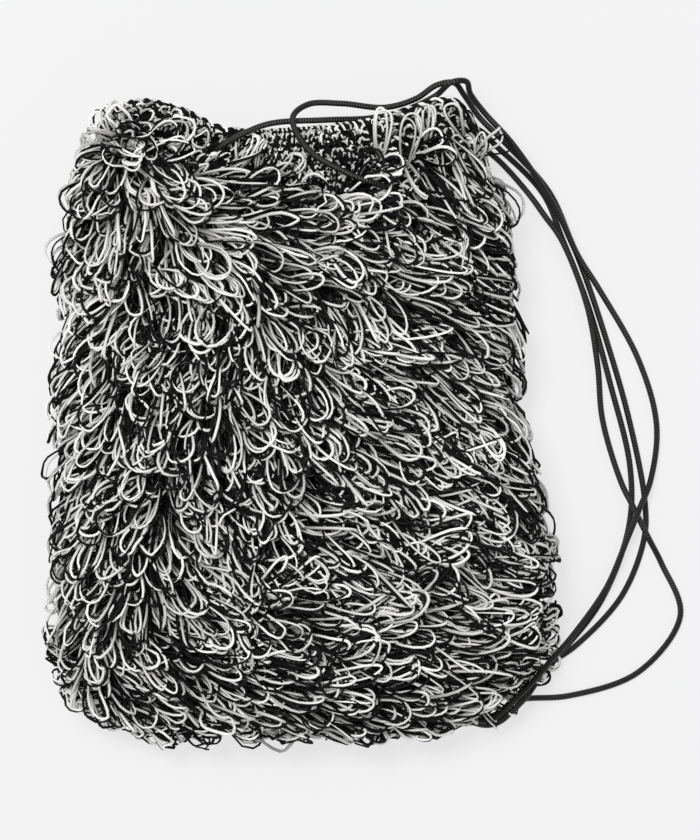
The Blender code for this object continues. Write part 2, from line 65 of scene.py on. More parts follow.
# ---------------------------------------------------------------- drawcords
# Two limp round cords of black braid, 3 mm thick. Each is sewn by both ends to the base's right corner,
# runs up beside the pouch, passes round the mouth and bows out in front of the rim.
cord_diameter = 0.003
cord_on_floor = 0.00153    # height of the centreline of a cord that lies on the floor
cord_sides = 14
route_steps = 10           # points of a cord's line to each place of its route
cord_routes = {            # x, y and z of the centreline in millimetres, for a smooth line through them
    "drawcord_1": (
        (83.8, -149.8, 20.6), (90.0, -151.2, 20.6), (96.2, -149.4, 21.0), (104.0, -142.3, 21.8),
        (115.0, -131.5, 21.5), (124.0, -121.4, 15.0), (135.3, -109.3, 8.4), (152.7, -85.1, 5.8),
        (162.9, -60.7, 8.9), (169.4, -44.5, 9.6), (175.3, -30.4, 4.4), (178.5, -2.5, 1.6),
        (169.4, 30.4, 1.6), (148.8, 66.9, 3.9), (138.5, 83.0, 5.7), (126.7, 107.0, 11.2),
        (104.7, 138.6, 21.6), (90.8, 153.7, 23.9), (83.3, 163.2, 28.0), (81.0, 168.9, 34.2),
        (73.6, 168.3, 36.8), (65.7, 162.0, 31.2), (47.9, 153.8, 31.8), (32.9, 150.6, 34.5),
        (10.4, 149.2, 40.5), (-18.0, 146.8, 44.8), (-35.5, 139.0, 46.6), (-43.2, 134.4, 44.2),
        (-49.5, 130.6, 37.0), (-58.5, 125.5, 28.5), (-69.0, 121.5, 22.2), (-77.5, 123.5, 19.0),
        (-80.5, 130.5, 18.0), (-75.0, 136.6, 17.4), (-62.0, 137.5, 17.0), (0.0, 134.0, 16.7),
        (55.0, 136.0, 17.0), (85.0, 146.6, 20.6), (97.6, 136.9, 17.0), (120.6, 114.6, 6.2),
        (130.9, 91.3, 1.6), (143.5, 58.8, 1.6), (155.0, 18.3, 1.6), (165.1, -24.3, 1.6),
        (164.3, -54.8, 1.6), (150.6, -91.3, 1.6), (132.2, -115.0, 5.6), (121.2, -126.0, 11.2),
        (112.5, -138.2, 18.3), (104.3, -146.6, 19.6), (98.2, -151.8, 18.2), (92.0, -153.6, 17.0),
        (85.4, -152.4, 16.8), (79.6, -150.4, 16.9),
    ),
    "drawcord_2": (
        (81.0, -146.4, 15.2), (87.0, -148.6, 13.9), (93.0, -149.4, 14.4), (98.0, -147.4, 16.0),
        (104.5, -141.4, 17.2), (109.5, -136.6, 14.6), (115.0, -131.5, 9.6), (125.1, -123.0, 4.6),
        (138.5, -113.6, 1.6), (160.8, -89.3, 1.6), (172.0, -61.0, 1.6), (172.7, -42.6, 1.6),
        (164.6, 0.0, 1.6), (152.4, 42.6, 1.6), (141.5, 75.1, 1.6), (134.8, 91.6, 1.9),
        (123.6, 115.2, 9.5), (101.1, 139.3, 18.6), (88.4, 151.7, 20.4), (80.2, 163.0, 24.3),
        (75.0, 168.6, 30.2), (66.4, 167.3, 32.2), (55.9, 160.4, 33.3), (40.4, 155.8, 36.0),
        (18.9, 157.4, 40.5), (2.0, 156.6, 44.5), (-5.4, 149.6, 48.5), (2.0, 134.1, 51.0),
        (21.7, 122.1, 52.5), (35.0, 117.2, 51.0), (45.0, 114.6, 45.5), (53.5, 113.0, 36.0),
        (60.0, 114.0, 26.0), (66.0, 120.0, 20.0), (81.4, 140.6, 19.2), (94.9, 133.4, 14.3),
        (112.5, 115.3, 8.6), (121.3, 103.4, 8.0), (130.1, 91.1, 5.9), (142.8, 58.7, 5.1),
        (148.4, 28.0, 3.8), (151.1, 0.0, 1.6), (160.5, -32.0, 4.2), (165.6, -42.5, 5.4),
        (174.0, -59.5, 5.4), (181.1, -73.0, 1.6), (190.6, -99.0, 1.6), (169.4, -127.8, 1.6),
        (134.9, -139.7, 1.6), (116.0, -140.8, 5.0), (107.0, -140.6, 11.6), (97.2, -137.8, 18.1),
    ),
}


def smooth_line(route):
    """Points of a smooth line through a route (centripetal Catmull-Rom), kept over the floor."""
    ends = [Vector(place) for place in route]
    ends = [2 * ends[0] - ends[1]] + ends + [2 * ends[-1] - ends[-2]]
    line = []
    for before, start, end, after in zip(ends, ends[1:], ends[2:], ends[3:]):
        knots = [0.0]
        for one, two in ((before, start), (start, end), (end, after)):
            knots.append(knots[-1] + (two - one).length ** 0.5)
        for step in range(route_steps):
            t = knots[1] + (knots[2] - knots[1]) * step / route_steps
            places = [before, start, end, after]
            for span in (1, 2):
                places = [one.lerp(two, (t - knots[i]) / (knots[i + span] - knots[i]))
                          for i, (one, two) in enumerate(zip(places, places[1:]))]
            place = places[0].lerp(places[1], (t - knots[1]) / (knots[2] - knots[1]))
            line.append((place.x, place.y, max(place.z, cord_on_floor)))
    return np.array(line + [tuple(route[-1])])


def store(mesh, name, rows):
    """Keeps a number, or three, for every point of a mesh."""
    kind, field = ("FLOAT_VECTOR", "vector") if rows.ndim > 1 else ("FLOAT", "value")
    mesh.attributes.new(name, kind, "POINT").data.foreach_set(field, rows.astype(np.float32).ravel())


def unit(rows):
    """The rows' directions, each of length one."""
    return rows / (norm(rows, axis=-1, keepdims=True) + 1e-12)


def yarn_mesh(name, groups, finish):
    """One mesh of many yarns. A group is its runs (yarns, points, 3), their radii, a direction square
    to each yarn's loop, its shades (each per yarn or per point) and the number of a yarn's sides."""
    corners, laid, shades, loops, starts = [], [], [], [], []
    first, loop_count = 0, 0
    for runs, radii, ups, tones, sides in groups:
        yarns, points = runs.shape[:2]
        if not yarns:
            continue
        ahead = unit(np.gradient(runs, axis=1))
        radii, tones = (np.broadcast_to(part.reshape(yarns, -1), (yarns, points))
                        for part in (radii, tones))
        side = unit(np.cross(ahead, ups))
        up = np.cross(side, ahead)
        turn = np.arange(sides) * 2 * np.pi / sides
        ring = side[:, :, None] * np.cos(turn)[:, None] + up[:, :, None] * np.sin(turn)[:, None]
        corners.append((runs[:, :, None] + ring * radii[:, :, None, None]).reshape(-1, 3))
        step = norm(np.diff(runs, axis=1), axis=2)
        along = np.concatenate([np.zeros((yarns, 1)), np.cumsum(step, axis=1)], axis=1) * 1000
        place = np.broadcast_arrays(np.cos(turn), np.sin(turn), along[..., None])
        laid.append(np.stack(place, axis=-1).reshape(-1, 3))
        shades.append(np.repeat(tones.ravel(), sides))
        grid = first + np.arange(yarns * points * sides).reshape(yarns, points, sides)
        beside = np.roll(grid, -1, axis=2)
        quads = np.stack([grid[:, :-1], grid[:, 1:], beside[:, 1:], beside[:, :-1]], axis=-1)
        caps = np.concatenate([grid[:, 0], grid[:, -1, ::-1]])
        for faces in (quads.reshape(-1, 4), caps):
            loops.append(faces.ravel())
            starts.append(loop_count + faces.shape[1] * np.arange(len(faces)))
            loop_count += faces.size
        first += grid.size
    mesh = bpy.data.meshes.new(name)
    corners = np.concatenate(corners)
    loops, starts = np.concatenate(loops), np.concatenate(starts)
    mesh.vertices.add(len(corners))
    mesh.vertices.foreach_set("co", corners.astype(np.float32).ravel())
    mesh.loops.add(len(loops))
    mesh.loops.foreach_set("vertex_index", loops.astype(np.int32))
    mesh.polygons.add(len(starts))
    mesh.polygons.foreach_set("loop_start", starts.astype(np.int32))
    mesh.update(calc_edges=True)
    mesh.shade_smooth()
    store(mesh, "yarn_run", np.concatenate(laid))
    store(mesh, "yarn_shade", np.concatenate(shades))
    mesh.materials.append(finish)
    return placed(name, mesh)


def maths(tree, operation, *values):
    """A maths node's output. A value is a socket or a number."""
    node = tree.nodes.new("ShaderNodeMath")
    node.operation = operation
    for socket, value in zip(node.inputs, values):
        if isinstance(value, bpy.types.NodeSocket):
            tree.links.new(value, socket)
        else:
            socket.default_value = value
    return node.outputs[0]


def stored_parts(tree, name):
    """Sockets of the three numbers that a mesh keeps under that name."""
    kept = tree.nodes.new("ShaderNodeAttribute")
    kept.attribute_name = name
    parts = tree.nodes.new("ShaderNodeSeparateXYZ")
    tree.links.new(kept.outputs["Vector"], parts.inputs[0])
    return tuple(parts.outputs)


def yarn_place(tree):
    """Sockets of the angle round a yarn (radians) and the distance along it (mm)."""
    across, up, along = stored_parts(tree, "yarn_run")
    return maths(tree, "ARCTAN2", up, across), along


def colour_between(tree, share, low, high):
    """Colours the shader between two colours, by a socket from 0 to 1."""
    ramp = tree.nodes.new("ShaderNodeValToRGB")
    ramp.color_ramp.elements[0].color = (*low, 1)
    ramp.color_ramp.elements[1].color = (*high, 1)
    tree.links.new(share, ramp.inputs[0])
    tree.links.new(ramp.outputs[0], tree.nodes["Principled BSDF"].inputs["Base Color"])


def raise_relief(tree, height, depth):
    """Feeds a height, from 0 to 1, to the shader as relief of that depth in metres."""
    bump = tree.nodes.new("ShaderNodeBump")
    bump.inputs["Strength"].default_value = 1.0
    bump.inputs["Distance"].default_value = depth
    tree.links.new(height, bump.inputs["Height"])
    tree.links.new(bump.outputs[0], tree.nodes["Principled BSDF"].inputs["Normal"])


def new_finish(name, roughness, gloss):
    """A material with its nodes and its shader."""
    material = bpy.data.materials.new(name)
    material.use_nodes = True
    tree = material.node_tree
    shader = tree.nodes["Principled BSDF"]
    shader.inputs["Roughness"].default_value = roughness
    shader.inputs["Specular IOR Level"].default_value = gloss
    return material, tree, shader


def braid_finish():
    """Black braid: fine strands wound both ways round the cord, with a soft sheen."""
    material, tree, _ = new_finish("black_braid", 0.32, 0.20)
    strands, turn_length = 3, 2.8      # wound each way, and the millimetres in which they come round
    angle, along = yarn_place(tree)
    wound = maths(tree, "MULTIPLY", along, 2 * math.pi / turn_length)
    round_cord = maths(tree, "MULTIPLY", angle, strands)
    one = maths(tree, "SINE", maths(tree, "ADD", wound, round_cord))
    other = maths(tree, "SINE", maths(tree, "SUBTRACT", wound, round_cord))
    weave = maths(tree, "MULTIPLY_ADD", maths(tree, "MULTIPLY", one, other), 0.5, 0.5)
    # The colour follows the weave's relief and is darker in the grooves between the strands: painted shade
    # on an evenly black braid.
    colour_between(tree, weave, (0.0006, 0.0006, 0.0006), (0.0215, 0.020, 0.0185))
    raise_relief(tree, weave, 0.00026)
    return material


nearly_up = np.array([[[0.02, 0.03, 1.0]]])     # a way that no cord runs
black_braid = braid_finish()
cord_shape = {}
for cord_name, places in cord_routes.items():
    route = [tuple(round(value / 1000, 4) for value in place) for place in places]
    line = smooth_line(route)
    cord_shape[cord_name] = line
    strand = (line[None], np.array([cord_diameter / 2]), nearly_up, np.zeros(1), cord_sides)
    cord = yarn_mesh(cord_name + "_braid", [strand], black_braid)
    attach(cord, "root")
    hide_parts(cord_name)
    float(norm(np.diff(line, axis=0), axis=1).sum())

# ---------------------------------------------------------------- pouch wall
# The pouch is crocheted in the round in two cotton yarns worked together, black and off-white.
# Its wall is 3 mm of dense stitches, closed at the base, with two holes between stitches for the cords.
wall_thickness = 0.003
wall_columns = 216
wall_axis = (-0.004, 0.0235)       # x and z of the line round which the wall is measured
base_y, rim_lowest_y, rim_highest_y = -0.152, 0.09, 0.1745
level_step = 0.002
wall_levels = np.arange(base_y, rim_highest_y, level_step)
rim_step = 0.0005                  # how closely the rim's height is looked for
beyond_wall = 0.3                  # farther from the axis than any wall
cord_holes = ((-0.0452, 0.1333), (0.0455, 0.1148))     # x and y, in the front
near_hole = 0.006                  # this near a hole, a cord passes through the wall
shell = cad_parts["crochet_shell"]
shell_tree = BVHTree.FromObject(shell, bpy.context.evaluated_depsgraph_get())


def shell_reach(bearing, y):
    """How far the shell's outer face is from the axis at a bearing, or nothing over its rim."""
    outward = Vector((math.cos(bearing), 0, math.sin(bearing)))
    start = Vector((wall_axis[0], y, wall_axis[1])) + outward * beyond_wall
    distance = shell_tree.ray_cast(start, -outward, beyond_wall - 0.001)[3]
    return math.nan if distance is None else beyond_wall - distance


def softened(rows, spread, axis, wrapped):
    """Rows smoothed along one axis by a bell curve of that spread, in samples."""
    reach = int(3 * spread) + 1
    bell = np.exp(-0.5 * (np.arange(-reach, reach + 1) / spread) ** 2)
    bell /= bell.sum()
    rows = np.moveaxis(rows, axis, 0)
    if wrapped:
        padded = np.concatenate([rows[-reach:], rows, rows[:reach]])
    else:
        padded = np.concatenate([2 * rows[:1] - rows[reach:0:-1], rows,
                                 2 * rows[-1:] - rows[-2:-reach - 2:-1]])
    smooth = sum(weight * padded[i:i + len(rows)] for i, weight in enumerate(bell))
    return np.moveaxis(smooth, 0, axis)


# bearings an equal step of wall apart at the pouch's middle
fine = np.linspace(0, 2 * math.pi, 721)
girth = np.array([shell_reach(turn, 0.0) for turn in fine])
outline = np.stack([girth * np.cos(fine), girth * np.sin(fine)], axis=1)
walked = np.concatenate([[0], np.cumsum(norm(np.diff(outline, axis=0), axis=1))])
wall_girth = walked[-1]
bearings = np.interp(np.arange(wall_columns) * wall_girth / wall_columns, walked, fine)

# the rim's height at every bearing
rim_y = []
for bearing in bearings:
    y = rim_highest_y
    while math.isnan(shell_reach(bearing, y)) and y > rim_lowest_y:
        y -= rim_step
    rim_y.append(y)
rim_y = softened(np.array(rim_y), 2.0, 0, True)

# the wall's distance from the axis, at every bearing and level, carried on where the shell has ended
reach_map = np.array([[shell_reach(bearing, min(max(y, base_y + 0.0002), rim - 0.001)) for bearing, rim
                       in zip(bearings, rim_y)] for y in wall_levels])
for column in range(wall_columns):
    known = ~np.isnan(reach_map[:, column])
    reach_map[:, column] = np.interp(wall_levels, wall_levels[known], reach_map[known, column])
reach_map = softened(softened(reach_map, 2.2, 0, False), 2.6, 1, True)


def on_wall(column, y):
    """Places on the wall's outer face. A column is a fraction of the way round times wall_columns."""
    column, y = np.asarray(column, float) % wall_columns, np.asarray(y, float)
    level = np.clip((y - wall_levels[0]) / level_step, 0, len(wall_levels) - 1.001)
    low, left = level.astype(int), column.astype(int)
    up, over, right = level - low, column - left, (left + 1) % wall_columns
    reach = ((reach_map[low, left] * (1 - over) + reach_map[low, right] * over) * (1 - up)
             + (reach_map[low + 1, left] * (1 - over) + reach_map[low + 1, right] * over) * up)
    last = np.where(right == 0, 2 * math.pi, bearings[right])
    bearing = bearings[left] * (1 - over) + last * over
    return np.stack([wall_axis[0] + reach * np.cos(bearing), y, wall_axis[1] + reach * np.sin(bearing)], -1)


def wall_facing(column, y):
    """The wall's outward direction at such places."""
    column, y = np.asarray(column, float), np.asarray(y, float)
    across = on_wall(column + 0.7, y) - on_wall(column - 0.7, y)
    along = on_wall(column, y + 0.002) - on_wall(column, y - 0.002)
    facing = np.cross(along, across)
    return facing / norm(facing, axis=-1, keepdims=True)


def grid_mesh(name, rows, openings):
    """A tube of quads from rows of places (rows, columns, 3), left open at the places of openings."""
    count, columns = rows.shape[:2]
    index = np.arange(count * columns).reshape(count, columns)
    beside = np.roll(index, -1, axis=1)
    faces = np.stack([index[:-1], index[1:], beside[1:], beside[:-1]], -1).reshape(-1, 4)
    centres = rows.reshape(-1, 3)[faces].mean(1)
    for opening in openings:
        kept = norm(centres - opening, axis=1) > cord_diameter
        faces, centres = faces[kept], centres[kept]
    mesh = bpy.data.meshes.new(name)
    mesh.from_pydata(rows.reshape(-1, 3).tolist(), [], faces.tolist())
    mesh.shade_smooth()
    return mesh


def crochet_finish():
    """Rounds of small V stitches, one leg black and one off-white, in dense relief. The off-white is
    painted a dim grey, as painted shade on a wall that lies under the pile and inside the pouch, and
    darkens to black away from each leg's ridge, as painted shade in the grooves between the legs.
    """
    material, tree, _ = new_finish("crochet_fabric", 0.95, 0.15)
    stitch, course, _ = stored_parts(tree, "stitch_place")
    across = maths(tree, "SUBTRACT", maths(tree, "FRACT", stitch), 0.5)
    aside = maths(tree, "ABSOLUTE", across)
    up = maths(tree, "FRACT", course)
    leg = maths(tree, "SUBTRACT", aside, maths(tree, "MULTIPLY", up, 0.36))
    off_leg = maths(tree, "ABSOLUTE", maths(tree, "SUBTRACT", leg, 0.02))
    relief = maths(tree, "SUBTRACT", 1.0, maths(tree, "MULTIPLY", off_leg, 5.0))
    relief.node.use_clamp = True
    grain = tree.nodes.new("ShaderNodeTexNoise")
    grain.inputs["Scale"].default_value = 260
    shuffle = maths(tree, "ADD", across, maths(tree, "MULTIPLY", grain.outputs[0], 0.5))
    light_leg = maths(tree, "GREATER_THAN", shuffle, 0.30)
    # The off-white leg is lightest on its ridge and darkens towards its edges: painted shade in the grooves
    # between the legs.
    shade = maths(tree, "MULTIPLY", light_leg, relief)
    colour_between(tree, shade, (0.006, 0.006, 0.006), (0.36, 0.355, 0.34))
    raise_relief(tree, relief, 0.0011)
    return material


cotton_crochet = crochet_finish()
stitch_width, course_height = 0.0050, 0.0034
lip_height = 0.0008
# rows of stitches' places from base to rim, closer together where the wall curves in to its seam
shares = np.concatenate([[0, 0.004, 0.012, 0.024], np.linspace(0.045, 1, 58)])
columns = np.arange(wall_columns)
outer, inner, stitch_places = [], [], []
for share in shares:
    level = base_y + share * (rim_y - lip_height - base_y)
    skin, facing = on_wall(columns, level), wall_facing(columns, level)
    outer.append(skin)
    inner.append(skin - facing * wall_thickness)
    stitch_places.append(np.stack([columns * wall_girth / wall_columns / stitch_width,
                                   (level - rim_y) / course_height, np.zeros(wall_columns)], -1))
outer, inner, stitch_places = np.array(outer), np.array(inner), np.array(stitch_places)
lip = (outer[-1] + inner[-1]) / 2 + np.array([0, lip_height, 0])
middle = np.array([wall_axis[0] - 0.002, base_y, wall_axis[1]])


def closing_rows(row, farther_in):
    """Rows that close the wall's lower end, drawn in to a flat seam, or to one that much farther in."""
    return [middle + (row - middle) * (squeeze, 1, flat) + (0, farther_in - drop, 0)
            for squeeze, flat, drop in ((0.97, 0.86, 0.0012), (0.93, 0.55, 0.0019), (0.90, 0.04, 0.0021))]


wall_rows = np.array(closing_rows(outer[0], 0)[::-1] + list(outer) + [lip] + list(inner[::-1])
                     + closing_rows(inner[0], 0.0022))
through_wall = [place for line in cord_shape.values() for place in line
                if min(math.dist(place[:2], hole) for hole in cord_holes) < near_hole]
wall_mesh = grid_mesh("pouch_wall", wall_rows, through_wall)
place_rows = np.concatenate([np.repeat(stitch_places[:1], 3, axis=0), stitch_places, stitch_places[-1:],
                             stitch_places[::-1], np.repeat(stitch_places[:1], 3, axis=0)])
store(wall_mesh, "stitch_place", place_rows)
wall_mesh.materials.append(cotton_crochet)
pouch_wall = placed("pouch_wall", wall_mesh)
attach(pouch_wall, "root")
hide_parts("crochet_shell")

# ---------------------------------------------------------------- rim stitches
# The plain band over the pile: rounds of V stitches, each leg one black and one off-white yarn.
# The last round is bound off with a chain that lies along the rim. The inside shows the same rounds.
yarn_radius = 0.00068
leg_reach = 0.0023                 # how far a leg leans to its side
leg_yarns_apart = (0.0011, 0.0013)  # across and up, between the two yarns of a leg
link_spacing, link_length = 0.0056, 0.0050
stitch_clearance = 0.0024          # from a stitch's middle to a cord's
pile_lowest = 0.00095              # height of a pressed yarn's middle over the floor
pile_edge_front = (                # x and y of the pile's upper edge over the front
    (-0.111, 0.127), (-0.106, 0.137), (-0.096, 0.139), (-0.084, 0.137), (-0.070, 0.129),
    (-0.058, 0.123), (-0.051, 0.120), (-0.032, 0.118), (-0.008, 0.113), (0.015, 0.110),
    (0.034, 0.109), (0.048, 0.111), (0.062, 0.122), (0.074, 0.133), (0.083, 0.134), (0.094, 0.123),
)
pile_edge_back = 0.115


def yarn_finish(name, dark, light, sheen):
    """Matt two-ply cotton: the plies' twist in relief, and painted shade in the grooves between the plies.
    The colour also takes a fibre noise and each yarn's stored tone, which differs at random between yarns
    and, along the pile's loops, carries painted shade towards their roots.
    """
    material, tree, shader = new_finish(name, 0.92, 0.06)
    twist_length = 1.5                 # millimetres in which the plies go once round each other
    shader.inputs["Sheen Weight"].default_value = sheen
    shader.inputs["Sheen Roughness"].default_value = 0.6
    angle, along = yarn_place(tree)
    plies = maths(tree, "ADD", maths(tree, "MULTIPLY", angle, 2),
                  maths(tree, "MULTIPLY", along, 2 * math.pi / twist_length))
    ply = maths(tree, "MULTIPLY_ADD", maths(tree, "SINE", plies), 0.5, 0.5)
    shade = tree.nodes.new("ShaderNodeAttribute")
    shade.attribute_name = "yarn_shade"
    fibre = tree.nodes.new("ShaderNodeTexNoise")
    fibre.inputs["Scale"].default_value = 900
    # The plies' twist darkens the colour in the grooves between the plies: painted shade. The fibre noise
    # and yarn_shade give tones that differ at random; on the pile's loops yarn_shade also holds painted
    # shade towards the roots.
    mixed = maths(tree, "ADD", maths(tree, "MULTIPLY", ply, 0.22),
                  maths(tree, "MULTIPLY", fibre.outputs[0], 0.25))
    mixed = maths(tree, "ADD", mixed, maths(tree, "MULTIPLY", shade.outputs["Fac"], 0.80))
    colour_between(tree, mixed, dark, light)
    raise_relief(tree, ply, 0.00012)
    return material


cottons = {
    "black": yarn_finish("black_cotton", (0.0012, 0.0012, 0.0013), (0.013, 0.013, 0.014), 0.0),
    "white": yarn_finish("white_cotton", (0.20, 0.197, 0.19), (0.99, 0.985, 0.965), 0.10),
}

cord_points = np.concatenate(list(cord_shape.values()))
cord_tree = KDTree(2 * len(cord_points))
for order, (here, there) in enumerate(zip(cord_points, np.roll(cord_points, -1, axis=0))):
    near = norm(there - here) < 0.01
    cord_tree.insert(here, 2 * order)
    cord_tree.insert((here + there) / 2 if near else here, 2 * order + 1)
cord_tree.balance()


def clear_of_cords(runs, clearance):
    """The runs, with what comes too near a cord moved aside, and kept over the floor."""
    flat = runs.reshape(-1, 3)
    for index, place in enumerate(flat.tolist()):
        nearest, _, distance = cord_tree.find(place)
        if distance < clearance:
            away = (Vector(place) - nearest).normalized() if distance > 1e-6 else Vector((0, 0, 1))
            flat[index] = nearest + away * clearance
    flat[:, 2] = np.maximum(flat[:, 2], pile_lowest)
    return runs


def round_wall(values, column):
    """A value known at every whole column of the wall, read at any column."""
    return np.interp(np.asarray(column) % wall_columns, np.arange(wall_columns + 1),
                     np.append(values, values[0]))


def stitch_legs(column, down, across, up, rise, inside):
    """Runs of yarn on the wall. across and up are offsets (stitches, points) in metres from the
    stitch's middle, which is down metres under the rim, and rise is their height over the wall."""
    per_metre = wall_columns / wall_girth
    place = column[:, None] + across * per_metre
    level = round_wall(rim_y, place) - np.maximum(down[:, None] - up, 0.0012)
    facing = wall_facing(place, level)
    sunk = -wall_thickness - rise if inside else rise
    return on_wall(place, level) + facing * sunk[..., None], facing


edge_x, edge_y = np.array(pile_edge_front).T
top = on_wall(columns, np.full(wall_columns, 0.11))
pile_edge = softened(np.where(top[:, 2] > wall_axis[1] - 0.004, np.interp(top[:, 0], edge_x, edge_y),
                              pile_edge_back), 3.0, 0, True)

dice = np.random.default_rng(20)
stitches_round = int(wall_girth / stitch_width)
leg = np.linspace(0, 2.0, 5)[None]     # how far a leg has hooked over, in radians
# the legs of every stitch: two yarns side by side outside, and one yarn inside
groups = {colour: [] for colour in cottons}
for inside, deepest in ((False, 0.050), (True, 0.022)):
    for order, down in enumerate(np.arange(0.0036, deepest, course_height)):
        column = (np.arange(stitches_round) + 0.5 * (order % 2)) / stitches_round * wall_columns
        column = column + dice.normal(0, 0.10, stitches_round)
        if not inside:
            column = column[round_wall(rim_y, column) - down > round_wall(pile_edge, column) - 0.005]
        count = len(column)
        drops = down + dice.normal(0, 0.0003, count)
        for hand in (-1, 1):
            for lane in ((-0.5, 0.5) if not inside else (0,)):
                light = lane < 0 if not inside else hand > 0
                swap = dice.random(count) < np.where(light, 0.33, 0.08)
                swell = dice.uniform(0.85, 1.25, (count, 1))
                across = hand * (0.0003 + leg_reach * swell * (1 - np.cos(leg))
                                 + lane * leg_yarns_apart[0])
                up = course_height * (1.15 * swell * np.sin(leg) - 0.5) + lane * leg_yarns_apart[1]
                turn = dice.normal(0, 0.30, (count, 1))
                across, up = (across * np.cos(turn) - up * np.sin(turn),
                              across * np.sin(turn) + up * np.cos(turn))
                across = across + dice.normal(0, 0.0004, (count, 1))
                rise = 0.0002 + 0.0014 * np.sin(leg * 1.3) + dice.normal(0, 0.0003, (count, 1))
                runs, ups = stitch_legs(column, drops, across, up, rise + 0 * up, inside)
                runs = clear_of_cords(runs, stitch_clearance)
                # Each leg's random tone, centred low so that the band's yarns are darker than the chain's
                # and the loop tips': painted shade on the band.
                shades = np.clip(dice.normal(0.45, 0.35, count), -0.1, 1.1)
                for colour, own in (("white", swap != light), ("black", swap == light)):
                    radii = np.full(own.sum(), yarn_radius)
                    groups[colour].append((runs[own], radii, ups[own], shades[own], 4))

# the chain that binds off the rim: a link of each yarn by turns
links = int(wall_girth / link_spacing)
column = np.arange(links) / links * wall_columns
over = np.linspace(0, 1, 8)[None]
for colour, shift in (("black", 0.0), ("white", link_spacing / 2)):
    along = link_length * over + shift + dice.normal(0, 0.0003, (links, 1))
    place = column[:, None] + along * wall_columns / wall_girth
    level = (round_wall(rim_y, place) - 0.0034 + 0.0034 * np.sin(over * 2.3)
             + dice.normal(0, 0.0002, (links, 1)))
    depth = 0.0012 - 0.0042 * over ** 2.2
    facing = wall_facing(place, level)
    runs = clear_of_cords(on_wall(place, level) + facing * depth[..., None], stitch_clearance)
    groups[colour].append((runs, np.full(links, yarn_radius * 1.20), facing,
                           np.clip(dice.normal(0.7, 0.25, links), 0, 1.2), 5))
for colour, cotton in cottons.items():
    rim_stitches = yarn_mesh(f"{colour}_rim_stitches", groups[colour], cotton)
    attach(rim_stitches, "root")

# ---------------------------------------------------------------- loop pile
# Every stitch of the wall draws out a long loop of both yarns, one black and one off-white.
# The loops fall towards the base and to one side, over the rounds below them.
rounds_apart = 0.0066
base_rounds = (-0.1512, -0.1478, -0.1430)       # y of the closer rounds at the base
other_rounds = np.arange(-0.1375, 0.142, rounds_apart)
stitch_apart = 0.0058
loop_clearance = 0.0026    # from a loop's middle to a cord's
tallest_tip = 0.0150       # height of a loop's tip over the wall, at most
lowest_lift = 0.0008       # height of a loop's middle line over the wall, at least
loop_slack = 1.12          # a loop's middle line is this many times as long as the tables say
downhill, sag = 0.16, 0.2  # how a loop turns down a steep wall, and sinks where it stands out
facing_down = -0.45        # outward z below which the wall is the pouch's underside
one_of_each = 0.80         # share of the stitches with one yarn of each colour
spine_steps = 9
band_edges = (-0.104, -0.047, 0.008, 0.062)     # y between the bands of the front and sides, 0 to 4
back_band = 5              # the loops under the pouch
comb = (                   # x, y, lean to the right from straight down (degrees), length, width (mm)
    (-121, 154, -75, 26, 9), (-102, 154, -105, 25, 9), (-97, 146, -80, 20, 8), (-84, 128, 30, 20, 11),
    (-107, 128, -80, 20, 10), (-70, 132, 64, 24, 10), (-102, 108, -30, 21, 11), (-77, 108, 34, 21, 11),
    (-57, 118, 62, 26, 9), (-34, 130, 78, 25, 9), (-30, 112, 92, 26, 9), (-7, 135, 95, 20, 10),
    (-2, 110, 98, 22, 9), (23, 110, 84, 22, 9), (43, 112, 60, 20, 10), (63, 128, 30, 22, 10),
    (68, 105, 42, 25, 9), (93, 128, 38, 22, 9), (98, 102, 48, 23, 8), (-117, 85, -42, 22, 10),
    (-97, 80, -18, 19, 11), (-77, 79, 10, 20, 11), (-57, 85, 46, 24, 9), (-32, 85, 64, 28, 7),
    (-2, 82, 72, 26, 7), (23, 85, 66, 24, 8), (48, 79, 66, 25, 8), (73, 79, 56, 26, 7),
    (103, 78, 44, 23, 8), (-117, 48, -36, 23, 9), (-92, 50, -12, 23, 9), (-62, 45, -18, 21, 11),
    (-32, 48, -8, 21, 12), (-2, 52, 30, 25, 9), (23, 50, 44, 27, 7), (48, 48, 50, 28, 7),
    (76, 50, 64, 27, 7), (104, 45, 42, 23, 8), (-118, -5, -40, 23, 9), (-87, -5, -22, 22, 10),
    (-57, -5, 4, 22, 11), (-32, -5, 26, 23, 10), (-2, -5, 46, 25, 9), (38, -2, 58, 27, 7),
    (73, -5, 48, 27, 7), (109, -5, 36, 23, 9), (-119, -50, -40, 22, 9), (-87, -48, -28, 21, 10),
    (-57, -50, 24, 22, 10), (-22, -48, 42, 23, 9), (13, -48, 54, 25, 8), (48, -48, 64, 27, 7),
    (83, -50, 50, 26, 7), (120, -48, 62, 22, 9), (-121, -85, -48, 21, 9), (-87, -85, -14, 19, 9),
    (-57, -85, 52, 22, 9), (-27, -85, 72, 24, 8), (13, -85, 90, 28, 9), (53, -85, 88, 29, 8),
    (88, -85, 84, 27, 8), (122, -85, 98, 23, 9), (-122, -115, -46, 18, 8), (-87, -115, 58, 18, 8),
    (-57, -115, 80, 23, 9), (-22, -115, 86, 27, 9), (18, -115, 92, 29, 9), (58, -115, 90, 29, 8),
    (88, -115, 88, 25, 9), (118, -118, 88, 22, 9), (-112, -142, -18, 17, 8), (-82, -148, 74, 16, 9),
    (-52, -146, 82, 19, 9), (-2, -149, 86, 21, 8), (48, -150, 92, 21, 8), (98, -142, 76, 20, 9),
)
